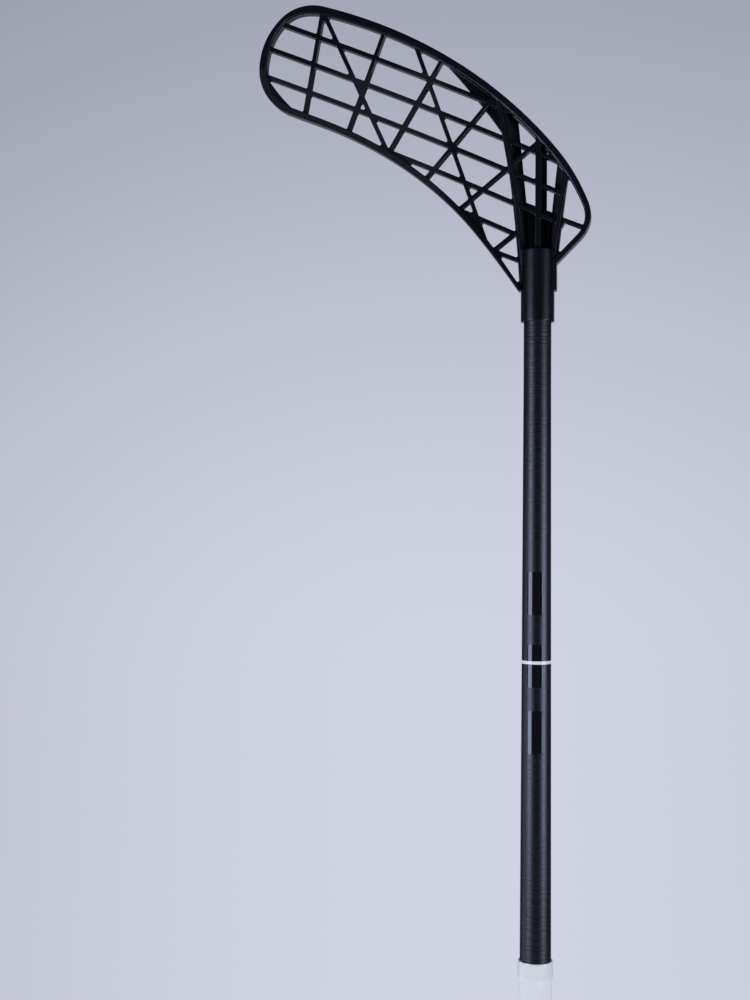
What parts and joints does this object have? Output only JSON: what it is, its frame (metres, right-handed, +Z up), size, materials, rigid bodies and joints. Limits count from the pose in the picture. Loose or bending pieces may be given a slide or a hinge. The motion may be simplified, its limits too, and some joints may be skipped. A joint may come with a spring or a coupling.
{
  "type": "floorball stick",
  "caption": "Floorball stick: tapered black composite shaft with a white wound grip and butt cap, and a hooked black plastic blade with an open lattice and a socket sleeve.",
  "frame": {"origin": "centre of the butt cap's flat end, on the shaft's axis", "axes": "+Z up the shaft towards the blade, -X towards the blade's tip, -Y the way the blade's hollow side faces"},
  "size_m": [0.2801, 0.0511, 1.1763],
  "materials": {
    "blade": "satin moulded polyethylene",
    "shaft": "clear-lacquered black composite with fine ground lines",
    "ring": "white gloss",
    "collar": "white gloss",
    "grip": "matt white polyurethane wrap",
    "cap": "matt black plastic",
    "adhesive": "set hot-melt adhesive",
    "screw": "zinc-plated steel"
  },
  "bodies": {
    "root": {"blade": "blade", "shaft_tube": "shaft", "shaft_ring": "ring", "grip_collar": "collar", "grip_tape": "grip", "butt_cap": "cap", "socket_adhesive": "adhesive", "blade_screw": "screw"}
  },
  "joints": []
}
